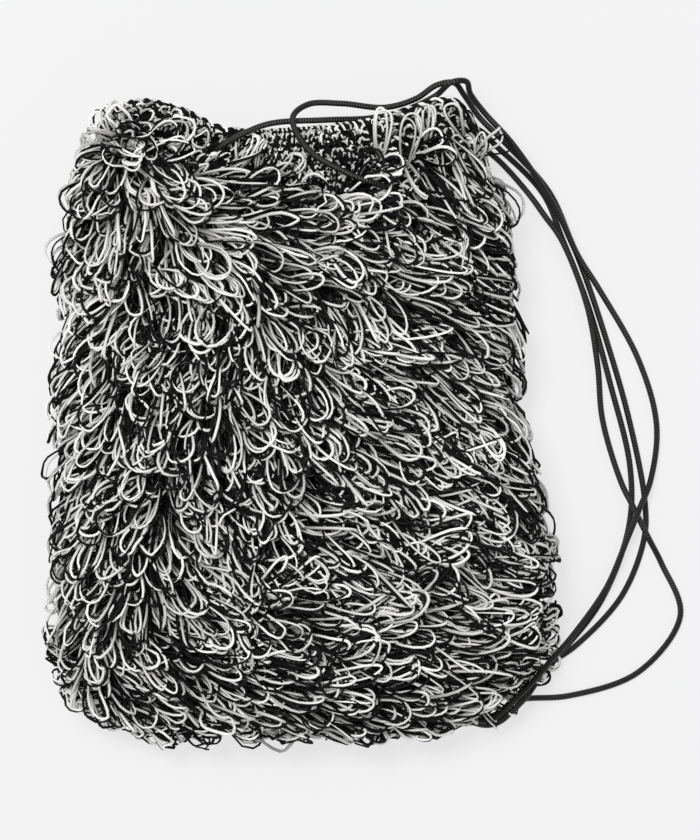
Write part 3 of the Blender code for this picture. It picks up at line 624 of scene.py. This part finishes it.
# Loops that are combed one by one round the mouth and at the base's left corner.
# x and y of the root, lean, length, width, height of the tip, twist, curl, and which yarns
# (0 both, 1 off-white, 2 black)
drawn_loops = (
    (-94, 139, -128, 17, 8, 9, 20, 3.0, 0), (-99, 134, -140, 14, 7, 6, -20, 2.0, 2),
    (-93, 131, -95, 20, 8, 8, 25, -4.0, 0), (-98, 129, -80, 17, 8, 7, -30, 3.0, 0),
    (-89, 137, -112, 22, 8, 10, 15, -3.6, 0), (-94, 124, -60, 21, 8, 8, 10, 2.4, 0),
    (-96, 143, 40, 27, 8, 12, 25, -3.6, 0), (-87, 141, 76, 25, 8, 13, -30, 3.4, 0),
    (-101, 134, 20, 26, 8, 10, 30, 3.8, 0), (-82, 136, 56, 28, 8, 13, -25, -2.6, 0),
    (-79, 139, 66, 27, 8, 11, 30, 2.0, 2), (-84, 130, 66, 26, 9, 12, -30, -3.8, 0),
    (-76, 131, 62, 25, 8, 12, 20, 2.2, 0), (-100, 121, 5, 23, 9, 10, 25, -4.0, 0),
    (-92, 114, -30, 22, 9, 9, -30, 4.6, 0), (-76, 122, 45, 24, 9, 10, 30, -4.4, 0),
    (-101, 124, -28, 24, 8, 8, 10, 1.6, 0), (-88, 142, -120, 13, 8, 12, 20, 6.5, 1),
    (-85, 134, 140, 12, 8, 13, -25, -6.0, 0), (-91, 142, -150, 11, 7, 9, 15, -5.4, 0),
    (-81, 131, -40, 15, 8, 14, 10, 6.0, 0), (-90, 133, 100, 14, 8, 13, -10, 6.2, 2),
    (-78, 137, -150, 13, 7, 12, 25, -5.6, 0), (-86, 127, 170, 13, 8, 12, 15, 5.2, 0),
    (-46, 136, -128, 9, 10, 4, 0, 0, 0), (-33, 126, 150, 16, 9, 7, 25, 0, 0),
    (-24, 124, 160, 15, 10, 7, -30, 0, 0), (-38, 127, 118, 18, 9, 8, 30, 0, 0),
    (-14, 120, 130, 18, 10, 6, 15, 0, 0), (38, 127, 178, 27, 7, 6, 8, 0.2, 1),
    (50, 124, 178, 25, 9, 7, -10, -0.2, 1), (54, 132, 112, 16, 8, 7, 0, 0, 0),
    (49, 130, 25, 26, 4, 6, 0, 0, 1), (60, 138, -168, 18, 8, 6, 10, 0, 0),
    (78, 141, -142, 17, 6, 6, 20, 0, 0), (85, 128, 176, 15, 5, 6, 25, 0, 0),
    (84, 131, 122, 19, 6, 11, 10, 0, 0), (90, 121, 62, 15, 9, 5, 0, 0, 1),
    (66, 136, 20, 26, 8, 9, 15, 0, 0), (72, 140, 30, 27, 8, 9, -20, 0, 0),
    (79, 136, 28, 26, 8, 8, 20, 0, 0), (58, 128, 35, 25, 8, 9, -25, 0, 0),
    (33, 124, 95, 16, 8, 6, 20, 0, 0), (27, 119, 120, 14, 9, 6, -20, 0, 0),
    (-114, -120, -86, 20, 9, 7, 10, 0, 0), (-112, -127, -78, 20, 8, 7, -15, 0, 0),
    (-108, -134, -70, 20, 8, 6, 20, 0, 0), (-103, -140, -58, 19, 8, 6, 10, 0, 0),
    (-97, -145, -45, 17, 8, 6, -20, 0, 0),
)
# Loops that lie out from the corner under the cords: x, y and z of the root and of the tip, and width.
corner_loops = (
    (106, -114, 38, 130.5, -118.5, 6, 8), (108, -107, 38, 129, -110, 9, 8),
    (104, -118, 37, 127, -124, 5, 8), (100, -124, 36, 122, -131.5, 8, 8),
    (101, -121, 38, 118.5, -127, 13, 9), (95, -130, 35, 113, -135, 15, 8),
    (107, -101, 42, 124.5, -102.5, 17, 9), (109, -95, 41, 128, -96, 13, 8),
    (104, -111, 41, 123, -115, 17, 8), (99, -117, 41, 115.5, -121, 23, 9),
    (95, -122, 41, 110.5, -126, 24, 8), (91, -137, 33, 107, -142.5, 14, 8),
    (86, -142, 31, 99, -148, 12, 8), (103, -105, 43, 120, -108.5, 24, 9),
    (92, -128, 40, 107, -132, 25, 8), (98, -112, 43, 113, -115, 28, 9),
    (96, -107, 45, 112, -108, 32, 8), (106, -90, 44, 122, -90, 26, 9),
)


def front_column(x, y):
    """The column of the wall's front at that x and y."""
    place = np.arange(wall_columns // 2 + 1)
    across = on_wall(place, np.full(len(place), y))[:, 0]
    return np.interp(-x, -across, place)


# the wall as a form to lay loops over: closed at the base and carried on past the rim
form_rows = np.array(closing_rows(outer[0], 0)[::-1] + list(outer)
                     + [on_wall(columns, rim_y + more) for more in (0.006, 0.012, 0.020, 0.030)])
form = grid_mesh("pile_form", form_rows, [])
form_places = form_rows.reshape(-1, 3)
form_facing = np.empty(3 * len(form_places))
form.vertex_normals.foreach_get("vector", form_facing)
form_facing = form_facing.reshape(-1, 3)
form_corners = np.array([face.vertices[:] for face in form.polygons])
form_tree = BVHTree.FromPolygons(form_places.tolist(), form_corners.tolist())
bpy.data.meshes.remove(form)


def laid_on_form(places):
    """The nearest places of the form, and its outward direction there."""
    found = [form_tree.find_nearest(place) for place in places.tolist()]
    spots = np.array([hit[0][:] for hit in found])
    around = form_corners[[hit[2] for hit in found]]
    away = norm(form_places[around] - spots[:, None], axis=2)
    share = 1 / (away ** 2 + 1e-9)
    facing = (form_facing[around] * share[..., None]).sum(1)
    return spots, facing / norm(facing, axis=1, keepdims=True)


def combed(places):
    """Lean (radians), length and width (m) of the loops over places of the front."""
    rows = np.array(comb, float)
    away = norm(places[:, None, :2] * 1000 - rows[None, :, :2], axis=2)
    share = np.exp(-0.5 * (away / 12) ** 2) + 1e-6 / (1 + away ** 2)
    share /= share.sum(1, keepdims=True)
    lean = np.radians(rows[:, 2])
    return (np.arctan2(share @ np.sin(lean), share @ np.cos(lean)),
            share @ rows[:, 3] / 1000, share @ rows[:, 4] / 1000)


def gathered_noise(places, wave, order):
    """Slow uneven swings over the pouch, between about -1 and 1."""
    swing = np.random.default_rng(order)
    total = np.zeros(len(places))
    for _ in range(6):
        bearing, phase = swing.uniform(0, 2 * math.pi, 2)
        stretch = 2 * math.pi / (wave * swing.uniform(0.7, 1.5))
        heading = np.array([math.cos(bearing), math.sin(bearing), swing.uniform(-0.6, 0.6)])
        total += np.sin(places @ heading * stretch + phase)
    return total / 2.4


def uneven(spread, least, most):
    """Random factors about one, one for each loop."""
    return np.clip(dice.normal(1, spread, count), least, most)


def stitch_roots():
    """Columns and heights of every stitch that carries a loop."""
    found = []
    for order, y in enumerate((*base_rounds, *other_rounds)):
        skin = on_wall(np.arange(wall_columns + 1), np.full(wall_columns + 1, y))
        run = np.concatenate([[0], np.cumsum(norm(np.diff(skin, axis=0), axis=1))])
        count = int(run[-1] / stitch_apart)
        place = (np.arange(count) + 0.5 * (order % 2) + dice.normal(0, 0.12, count)) / count * run[-1]
        column = np.interp(place % run[-1], run, np.arange(wall_columns + 1))
        height = y + dice.normal(0, 0.0007, count)
        keep = height < round_wall(pile_edge, column)
        found.append(np.stack([column[keep], height[keep]], 1))
    return np.concatenate(found)


def pressed(facing):
    """How thick the pile is at places that face that way, as a share of the pile on the front."""
    return (0.27 + 0.73 * np.clip(np.abs(facing[..., 2:]) * 1.3, 0, 1)
            - 0.10 * np.clip(-facing[..., 1:2], 0, 1))


def loop_spines(roots, facing, lean, length, lift, curl, stiff):
    """Middle lines of loops that leave the wall at roots and lie over it. lift is the height over the
    wall at each step, and stiff is how far, from 0 to 1, a loop stands straight out where the wall
    turns away. Returns the lines, the directions outward from the wall, and the step's length."""
    ahead = np.stack([np.sin(lean), -np.cos(lean), np.zeros(len(lean))], 1)
    ahead = unit(ahead - facing * (ahead * facing).sum(1, keepdims=True))
    stride = (length / spine_steps)[:, None]
    skin, lines, outward = roots, [roots + facing * lift[:, :1]], [facing]
    first_ahead, first_facing, stiff = ahead, facing, stiff[:, None]
    for step in range(1, spine_steps + 1):
        side = np.cross(ahead, facing)
        ahead = unit(ahead + side * (curl / spine_steps)[:, None])
        spots, fresh = laid_on_form(skin + ahead * stride)
        ahead = ahead - fresh * (ahead * fresh).sum(1, keepdims=True)
        fall = np.array([0, 0, -1.0]) + fresh * fresh[:, 2:]
        steep = np.clip(1 - np.abs(fresh[:, 2:]), 0, 1)
        ahead = unit(unit(ahead) + fall * steep * downhill)
        skin, facing = spots, fresh
        laid = skin + facing * lift[:, step:step + 1] * pressed(facing)
        held = roots + first_ahead * stride * step + first_facing * lift[:, step:step + 1]
        held[:, 2] -= sag * length * (step / spine_steps) ** 2
        lines.append(laid + (held - laid) * stiff)
        outward.append(unit(facing + (first_facing - facing) * stiff))
    return np.stack(lines, 1), np.stack(outward, 1), stride[:, 0]


def loop_steps(points):
    """Shares of the way round a loop, closer together at its tip."""
    u = np.linspace(-1, 1, points)
    return 0.5 + 0.5 * np.sign(u) * np.abs(u) ** 1.2


def loops_from(lines, outward, stride, length, width, twist, points, wobble):
    """Runs of yarn that go out along middle lines and come back, teardrops seen flat, and the
    direction square to each loop. wobble is each loop's bends: their size, turn and sharpest place."""
    t = loop_steps(points)
    reach = np.sin(np.pi * t)[None] * length[:, None] / stride[:, None]
    low = np.clip(reach.astype(int), 0, lines.shape[1] - 2)
    part = (reach - low)[..., None]
    rows = np.arange(len(lines))[:, None]
    spine = lines[rows, low] * (1 - part) + lines[rows, low + 1] * part
    facing = outward[rows, low] * (1 - part) + outward[rows, low + 1] * part
    ahead = unit(lines[rows, low + 1] - lines[rows, low])
    side = unit(np.cross(ahead, facing))
    up = np.cross(side, ahead)
    turn = twist[:, None, None]
    flat = pressed(facing)
    aside = side * np.cos(turn) + up * np.sin(turn) * flat
    swing = np.sin(2 * np.pi * t)[None] * width[:, None] / 2 + np.cos(np.pi * t)[None] * 0.0007
    size, phase, sharp = wobble
    fade = np.sin(np.pi * t)[None]
    bend = size[:, :1] * fade * np.sin(4 * np.pi * t + phase[:, :1])
    bend = bend + size[:, 1:] * np.maximum(0, 1 - np.abs(t - sharp[:, None]) / 0.13)
    lean_out = size[:, :1] * fade * np.sin(5 * np.pi * t + phase[:, 1:]) * flat[..., 0]
    runs = spine + aside * (swing + bend)[..., None] + up * lean_out[..., None]
    return runs, np.cross(ahead, aside)


# stretches of cord that lie over the pile, at the base's right corner and beside the left hole
over_pile = cord_shape["drawcord_1"]
cords_on_pile = tuple(zip(over_pile[24:78:6], over_pile[30:84:6]))
cords_on_pile += tuple(zip(over_pile[242:267:6], over_pile[248:273:6]))
pressed_under, press_slope, press_width = 0.0026, 1.6, 0.0055
most_pressing = 0.011      # a loop that would be pressed farther down is left out


def under_cords(runs):
    """Presses down what would lie over a cord where the cord lies on the pile. Returns how far, too."""
    before = runs[..., 2].copy()
    for here, there in cords_on_pile:
        run = there - here
        share = np.clip(((runs - here) @ run) / (run @ run), 0, 1)
        near = here + share[..., None] * run
        off = norm((runs - near)[..., :2], axis=-1)
        most = near[..., 2] - pressed_under + np.maximum(0, off - pressed_under) * press_slope
        lowered = np.minimum(runs[..., 2], np.maximum(most, pile_lowest))
        runs[..., 2] = np.where(off < press_width, lowered, runs[..., 2])
    return runs, (before - runs[..., 2]).max(1)


# the loops of every stitch
roots = stitch_roots()
skin, facing = on_wall(roots[:, 0], roots[:, 1]), wall_facing(roots[:, 0], roots[:, 1])
lean, length, width = combed(skin)
under = facing[:, 2] < facing_down
count = len(skin)
lean = np.where(under, gathered_noise(skin, 0.05, 3) * 0.6, lean + gathered_noise(skin, 0.034, 4) * 0.28)
lean = lean + dice.normal(0, 1, count) * np.where(skin[:, 0] > 0.02, 0.17, 0.25)
length = np.where(under, 0.021, length * 1.08) * uneven(0.10, 0.72, 1.25)
width = np.where(under, 0.009, width * 1.10) * uneven(0.24, 0.5, 1.6)
tip = np.clip(dice.normal(0.0098, 0.0026, count), 0.0040, tallest_tip)
tip = np.where(dice.random(count) < 0.10, tip + 0.0030, tip) * (1 + 0.25 * gathered_noise(skin, 0.022, 5))
tip = np.minimum(tip, tallest_tip)
tip = np.where(under, dice.uniform(0.0020, 0.0092, count), tip)
twist = dice.normal(0, 0.55, count)
curl = dice.normal(0, 0.40, count)
pairing = dice.random(count)

# the loops combed one by one, each with a looser neighbour, except the off-white ones and those beside the
# cords, and after them the loops of the corner
beside_cords = 76          # millimetres
drawn = np.repeat(np.array(drawn_loops, float), 2, axis=0)
drawn[1::2] += dice.normal(0, (2.0, 2.0, 14, 1.5, 1.2, 1.5, 20, 0.8, 0), drawn[1::2].shape)
alone = (drawn[:, 8] == 1) | (drawn[:, 0] > beside_cords)
drawn = drawn[~alone | (np.arange(len(drawn)) % 2 == 0)]
corner = np.repeat(np.array(corner_loops, float), 2, axis=0)
corner[1::2, :6] += dice.normal(0, 1.6, corner[1::2, :6].shape)
reach = norm(corner[:, 3:6] - corner[:, :3], axis=1)
corner_rows = (corner[:, 0], corner[:, 1], 90 + 0 * reach, reach / loop_slack, corner[:, 6],
               5 + 0 * reach, dice.normal(0, 20, len(corner)), 0 * reach, 0 * reach)
drawn = np.concatenate([drawn, np.stack(corner_rows, 1)])
drawn_y = drawn[:, 1] / 1000
drawn_column = np.array([front_column(x / 1000, y) for x, y in zip(drawn[:, 0], drawn_y)])
roots = np.concatenate([roots, np.stack([drawn_column, drawn_y], 1)])
skin = np.concatenate([skin, on_wall(drawn_column, drawn_y)])
facing = np.concatenate([facing, wall_facing(drawn_column, drawn_y)])
lean, twist = np.append(lean, np.radians(drawn[:, 2])), np.append(twist, np.radians(drawn[:, 6]))
length, width, tip = (np.append(own, drawn[:, place] / 1000) for own, place in
                      ((length, 3), (width, 4), (tip, 5)))
given = np.arange(len(skin)) >= count
curl = np.append(curl, drawn[:, 7] * 0.3)
drawn_pairing = np.array((0.1, 0.84, 0.96))[drawn[:, 8].astype(int)]
turned_up = np.where(drawn[:, 0] > beside_cords, 0.5, dice.random(len(drawn)))
drawn_pairing = np.where(turned_up < 0.10, 0.96, np.where(turned_up > 0.88, 0.84, drawn_pairing))
pairing = np.append(pairing, drawn_pairing)
under = np.append(under, np.zeros(len(drawn), bool))

# where each loop lies: how high over the wall, and how far it stands out at the pouch's edges
count = len(skin)
skin_x, skin_y = skin[:, 0], skin[:, 1]
share = np.linspace(0, 1, spine_steps + 1)[None]
rising = 1 - (1 - share) ** 1.7
drooping = 0.0018 * np.maximum(share - 0.8, 0) * 5
lift = np.maximum(lowest_lift + (tip[:, None] - lowest_lift) * rising - drooping, lowest_lift)
turning_away = (np.clip((0.88 - facing[:, 2]) * 6, 0, 1) * (facing[:, 2] > 0.12)
                * np.clip(1 + facing[:, 1] * 1.5, 0, 1))
held_more = ((skin_x < -0.08) * (0.38 + 0.22 * (skin_y < -0.10))
             + (skin_x > 0.085) * (skin_y > -0.03) * 0.18)
stiff = turning_away * np.clip(dice.uniform(-0.6, 0.8, count) + held_more, 0, 1)
side_on = np.clip((0.5 - facing[:, 2]) * 8, 0, 1) * (facing[:, 2] > -0.5) * (skin_x > 0.05)
stiff = np.maximum(stiff, side_on * 0.35 * dice.uniform(-1.0, 1.0, count))
stiff = np.where(given, 0.9 * np.clip((0.93 - facing[:, 2]) * 8, 0, 1), stiff)
lines, outward, stride = loop_spines(skin, facing, lean, length * loop_slack, lift, curl, stiff)
part = share.T
for loop, (*root, x, y, z, _) in enumerate(corner / 1000, start=count - len(corner)):
    root, end = np.array(root), np.array((x, y, z))
    arch = (root + end) / 2 + (0.002, 0, 0.005)
    lines[loop] = root * (1 - part) ** 2 + arch * 2 * part * (1 - part) + end * part ** 2
    outward[loop] = unit(np.cross(np.cross(end - root, (0, 0, 1.0)), end - root))
    stride[loop] = norm(end - root) / spine_steps

# both yarns of each loop, in bands up the front and one for the back
bands = np.digitize(roots[:, 1], band_edges)
band_nodes = (("loop_row_01", "loop_row_02"), ("loop_row_03", "loop_row_04"),
              ("loop_row_05", "loop_row_06"), ("loop_row_07", "loop_row_08"),
              ("loop_row_09", "loop_row_10"), ("back_pile",))
piles = {(colour, band): [] for colour in cottons for band in range(back_band + 1)}
heading = unit(np.cross(lines[:, 1] - lines[:, 0], outward[:, 0]))
# a stitch whose pairing is over one_of_each has both yarns off-white up to this share, and black over it
both_white = (0.865 + 0.10 * np.clip((-0.080 - skin_x) / 0.02, 0, 1)
              + 0.05 * ((skin_x < -0.03) & (skin_y > 0.09))
              + 0.04 * ((skin_x > 0.03) & (np.abs(skin_y + 0.065) < 0.025))
              + 0.08 * np.clip((skin_x - 0.088) / 0.02, 0, 1) * (skin_y > -0.06)
              - 0.03 * (skin_y < -0.10))
evenness = np.where(under | (facing[:, 1] < -0.3), 0.35, np.where(skin_x > 0.02, 0.7, 0.9))[:, None]
for strand in (0, 1):
    white = np.where(pairing < one_of_each, strand == 0, pairing < both_white)
    own_length = length * uneven(0.06, 0.8, 1.11)
    own_width = width * uneven(0.14, 0.6, 1.4)
    own_twist = twist + dice.normal(0, 0.25, count)
    shades = dice.normal(0.5, 0.22, count)
    thickness = np.where(white, 0.00067, 0.00066) * np.where(given, 0.92, 1) * uneven(0.10, 0.8, 1.25)
    shift = outward[:, :1] * dice.uniform(0, 0.0012, count)[:, None, None]
    fan = share[..., None] * (heading * dice.normal(0, 0.0022, count)[:, None])[:, None]
    own_lines = lines + shift + fan
    wobble = (dice.normal(0, (0.0006, 0.0012), (count, 2)) * evenness,
              dice.uniform(0, 2 * math.pi, (count, 2)), dice.uniform(0.22, 0.78, count))
    for band in range(back_band + 1):
        for colour in cottons:
            there = under if band == back_band else (bands == band) & ~under
            chosen = there & (white == (colour == "white"))
            points, sides = (11, 3) if band == back_band else (17, 4)
            runs, ups = loops_from(own_lines[chosen], outward[chosen], stride[chosen], own_length[chosen],
                                   own_width[chosen], own_twist[chosen], points,
                                   [part[chosen] for part in wobble])
            runs, pressing = under_cords(runs)
            runs = clear_of_cords(runs, loop_clearance)
            t = loop_steps(points)
            swell = 1 + 0.15 * np.sin(7 * t[None] + wobble[1][chosen][:, :1])
            # Each yarn's random tone, with painted shade that darkens the loop towards its roots at the
            # wall and leaves its tip lightest.
            tone_and_painted_root_shade = np.clip(shades[chosen][:, None] + 1.15 * np.sin(np.pi * t) ** 0.8 - 0.80, -0.2, 1.3)
            kept = (pressing < most_pressing) | given[chosen]
            piles[colour, band].append((runs[kept], (thickness[chosen][:, None] * swell)[kept], ups[kept],
                                        tone_and_painted_root_shade[kept], sides))
for (colour, band), groups in piles.items():
    name = f"{colour}_back_loops" if band == back_band else f"{colour}_loops_{band + 1}"
    pile = yarn_mesh(name, groups, cottons[colour])
    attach(pile, "root")
    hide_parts(*band_nodes[band])

# ---------------------------------------------------------------- table and light
# A plain pale table top, lit a little from below, and soft light from all round, brightest from the
# upper left.
floor_corners = [(-9, -9, 0), (9, -9, 0), (9, 9, 0), (-9, 9, 0)]
floor_mesh = bpy.data.meshes.new("table_top")
floor_mesh.from_pydata(floor_corners, [], [(0, 1, 2, 3)])
floor = placed("table_top", floor_mesh)
pale_table, _, shader = new_finish("pale_table", 0.9, 0.1)
shader.inputs["Base Color"].default_value = (0.18, 0.18, 0.183, 1)
shader.inputs["Emission Color"].default_value = (0.99, 0.99, 1.0, 1)
shader.inputs["Emission Strength"].default_value = 0.695
floor_mesh.materials.append(pale_table)

room = bpy.data.worlds.new("soft_room")
bpy.context.scene.world = room
room.use_nodes = True
room.node_tree.nodes["Background"].inputs["Color"].default_value = (1.0, 1.0, 1.0, 1)
room.node_tree.nodes["Background"].inputs["Strength"].default_value = 0.60


def soft_lamp(name, place, width, power):
    """A square lamp that looks at the pouch."""
    lamp = placed(name, bpy.data.lights.new(name, "AREA"))
    lamp.data.size = width
    lamp.data.energy = power
    lamp.location = place
    lamp.rotation_euler = (-Vector(place)).to_track_quat("-Z", "Y").to_euler()


soft_lamp("key_lamp", (-0.7, 0.9, 3.2), 1.1, 78)
bpy.context.scene.view_settings.view_transform = "Standard"
